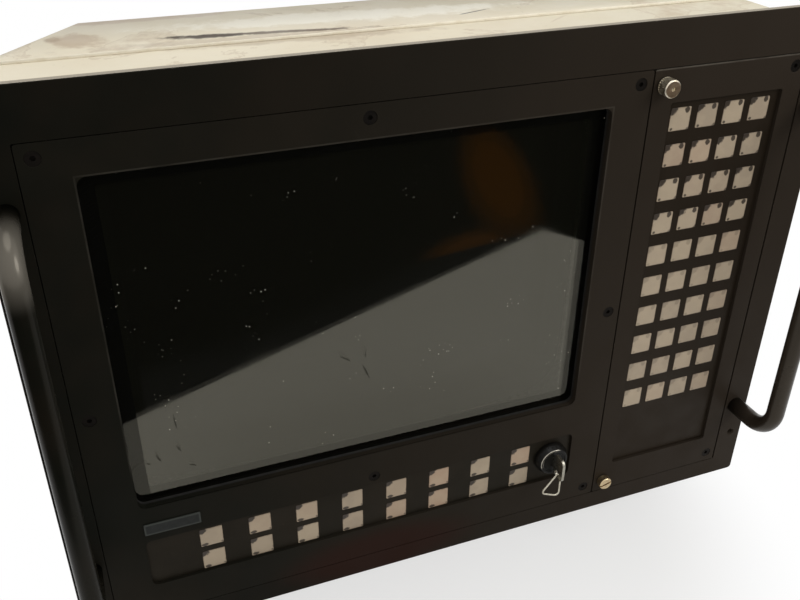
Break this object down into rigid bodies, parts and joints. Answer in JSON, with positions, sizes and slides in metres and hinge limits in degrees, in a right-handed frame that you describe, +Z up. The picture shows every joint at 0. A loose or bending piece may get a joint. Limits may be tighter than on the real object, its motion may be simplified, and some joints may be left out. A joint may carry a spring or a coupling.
{
  "type": "operator panel",
  "caption": "Rack-mounted machine operator panel: filter-glass screen, soft keys, key switch, hinged key door, bow handles and a stepped sheet-metal housing with a rear hood.",
  "frame": {"origin": "centre of the four mounting holes, on the rear face of the front plate, which meets the cabinet", "axes": "+X to the right as seen from the front, +Y to the rear, +Z up"},
  "size_m": [0.4826, 0.366, 0.3548],
  "materials": {
    "frame_black": "satin black paint on aluminium, worn at the edges",
    "bezel_black": "satin black paint on aluminium",
    "dark_screw": "blackened steel",
    "zinc_steel": "zinc-plated steel",
    "nickel": "nickel-plated brass, worn",
    "plate_foil": "dark foil",
    "filter_glass": "dark filter glass, polished",
    "rubber": "matt",
    "key_beige": "moulded, fine grain",
    "green_board": "solder resist",
    "black_plastic": "moulded",
    "lock_steel": "satin chrome plated",
    "key_metal": "nickel-plated blade, dark bow",
    "ring_wire": "bright wire",
    "handle_black": "satin black, rubbed bright in places",
    "housing_cream": "cream paint, stained",
    "tube_glass": "grey glass",
    "band_steel": "rolled band",
    "yoke": "copper windings on a ferrite ring",
    "pan_grey": "thin sheet, painted",
    "connector_steel": "tinned shell",
    "terminal_black": "moulded"
  },
  "bodies": {
    "cabinet": {"front_frame": "frame_black", "screen_bezel": "bezel_black", "bezel_screws": "dark_screw", "name_plate": "zinc_steel", "screen_glass": "filter_glass", "glass_gasket": "rubber", "glass_retainer": "pan_grey", "hinge_pins": "zinc_steel", "softkey_fascia": "plate_foil", "softkey_board": "green_board", "key_switch_body": "lock_steel", "key_switch_nut": "zinc_steel", "switch_contacts": "black_plastic", "handle_left": "handle_black", "handle_right": "handle_black", "handle_screws": "zinc_steel", "housing_front": "housing_cream", "rear_cover": "housing_cream", "rear_hood": "housing_cream", "cover_screws": "zinc_steel", "crt_tube": "tube_glass", "crt_band": "band_steel", "deflection_yoke": "yoke", "neck_board": "green_board", "monitor_board": "green_board", "line_transformer": "black_plastic", "power_supply": "zinc_steel", "interface_board": "green_board", "board_spacers": "zinc_steel", "signal_connectors": "connector_steel", "mains_terminals": "terminal_black", "earth_stud": "zinc_steel", "chassis_screws": "zinc_steel"},
    "key_door": {"key_door": "bezel_black", "door_fascia": "plate_foil", "door_keys": "key_beige", "door_key_board": "green_board", "door_pan": "pan_grey", "hinge_screws": "dark_screw"},
    "door_screw_top": {"door_screw_top": "nickel"},
    "door_screw_bottom": {"door_screw_bottom": "nickel"},
    "lock": {"key_switch_rotor": "lock_steel", "switch_key": "key_metal"},
    "key_ring": {"key_ring": "ring_wire"},
    "soft_key_01": {"soft_key_01": "key_beige"},
    "soft_key_02": {"soft_key_02": "key_beige"},
    "soft_key_03": {"soft_key_03": "key_beige"},
    "soft_key_04": {"soft_key_04": "key_beige"},
    "soft_key_05": {"soft_key_05": "key_beige"},
    "soft_key_06": {"soft_key_06": "key_beige"},
    "soft_key_07": {"soft_key_07": "key_beige"},
    "soft_key_08": {"soft_key_08": "key_beige"},
    "soft_key_09": {"soft_key_09": "key_beige"},
    "soft_key_10": {"soft_key_10": "key_beige"},
    "soft_key_11": {"soft_key_11": "key_beige"},
    "soft_key_12": {"soft_key_12": "key_beige"},
    "soft_key_13": {"soft_key_13": "key_beige"},
    "soft_key_14": {"soft_key_14": "key_beige"},
    "soft_key_15": {"soft_key_15": "key_beige"},
    "soft_key_16": {"soft_key_16": "key_beige"}
  },
  "joints": [
    {"name": "door_hinge", "type": "hinge", "parent": "cabinet", "child": "key_door", "pos_m": [0.219, -0.002, 0], "axis": [0, 0, 1], "range_deg": [0, 90]},
    {"name": "door_screw_top_turn", "type": "hinge", "parent": "key_door", "child": "door_screw_top", "pos_m": [0.1215, -0.0042, 0.1406], "axis": [0, 1, 0], "continuous": true},
    {"name": "door_screw_bottom_turn", "type": "hinge", "parent": "key_door", "child": "door_screw_bottom", "pos_m": [0.1215, -0.0042, -0.1524], "axis": [0, 1, 0], "continuous": true},
    {"name": "key_turn", "type": "hinge", "parent": "cabinet", "child": "lock", "pos_m": [0.0756, -0.009, -0.118], "axis": [0, 1, 0], "range_deg": [0, 90]},
    {"name": "ring_swing", "type": "hinge", "parent": "lock", "child": "key_ring", "pos_m": [0.0756, -0.015, -0.1268], "axis": [0, 1, 0], "range_deg": [-45, 25]},
    {"name": "soft_key_01_press", "type": "slide", "parent": "cabinet", "child": "soft_key_01", "axis": [0, 1, 0], "range_m": [0, 0.0008], "stiffness_N_per_m": 500},
    {"name": "soft_key_02_press", "type": "slide", "parent": "cabinet", "child": "soft_key_02", "axis": [0, 1, 0], "range_m": [0, 0.0008], "stiffness_N_per_m": 500},
    {"name": "soft_key_03_press", "type": "slide", "parent": "cabinet", "child": "soft_key_03", "axis": [0, 1, 0], "range_m": [0, 0.0008], "stiffness_N_per_m": 500},
    {"name": "soft_key_04_press", "type": "slide", "parent": "cabinet", "child": "soft_key_04", "axis": [0, 1, 0], "range_m": [0, 0.0008], "stiffness_N_per_m": 500},
    {"name": "soft_key_05_press", "type": "slide", "parent": "cabinet", "child": "soft_key_05", "axis": [0, 1, 0], "range_m": [0, 0.0008], "stiffness_N_per_m": 500},
    {"name": "soft_key_06_press", "type": "slide", "parent": "cabinet", "child": "soft_key_06", "axis": [0, 1, 0], "range_m": [0, 0.0008], "stiffness_N_per_m": 500},
    {"name": "soft_key_07_press", "type": "slide", "parent": "cabinet", "child": "soft_key_07", "axis": [0, 1, 0], "range_m": [0, 0.0008], "stiffness_N_per_m": 500},
    {"name": "soft_key_08_press", "type": "slide", "parent": "cabinet", "child": "soft_key_08", "axis": [0, 1, 0], "range_m": [0, 0.0008], "stiffness_N_per_m": 500},
    {"name": "soft_key_09_press", "type": "slide", "parent": "cabinet", "child": "soft_key_09", "axis": [0, 1, 0], "range_m": [0, 0.0008], "stiffness_N_per_m": 500},
    {"name": "soft_key_10_press", "type": "slide", "parent": "cabinet", "child": "soft_key_10", "axis": [0, 1, 0], "range_m": [0, 0.0008], "stiffness_N_per_m": 500},
    {"name": "soft_key_11_press", "type": "slide", "parent": "cabinet", "child": "soft_key_11", "axis": [0, 1, 0], "range_m": [0, 0.0008], "stiffness_N_per_m": 500},
    {"name": "soft_key_12_press", "type": "slide", "parent": "cabinet", "child": "soft_key_12", "axis": [0, 1, 0], "range_m": [0, 0.0008], "stiffness_N_per_m": 500},
    {"name": "soft_key_13_press", "type": "slide", "parent": "cabinet", "child": "soft_key_13", "axis": [0, 1, 0], "range_m": [0, 0.0008], "stiffness_N_per_m": 500},
    {"name": "soft_key_14_press", "type": "slide", "parent": "cabinet", "child": "soft_key_14", "axis": [0, 1, 0], "range_m": [0, 0.0008], "stiffness_N_per_m": 500},
    {"name": "soft_key_15_press", "type": "slide", "parent": "cabinet", "child": "soft_key_15", "axis": [0, 1, 0], "range_m": [0, 0.0008], "stiffness_N_per_m": 500},
    {"name": "soft_key_16_press", "type": "slide", "parent": "cabinet", "child": "soft_key_16", "axis": [0, 1, 0], "range_m": [0, 0.0008], "stiffness_N_per_m": 500}
  ]
}
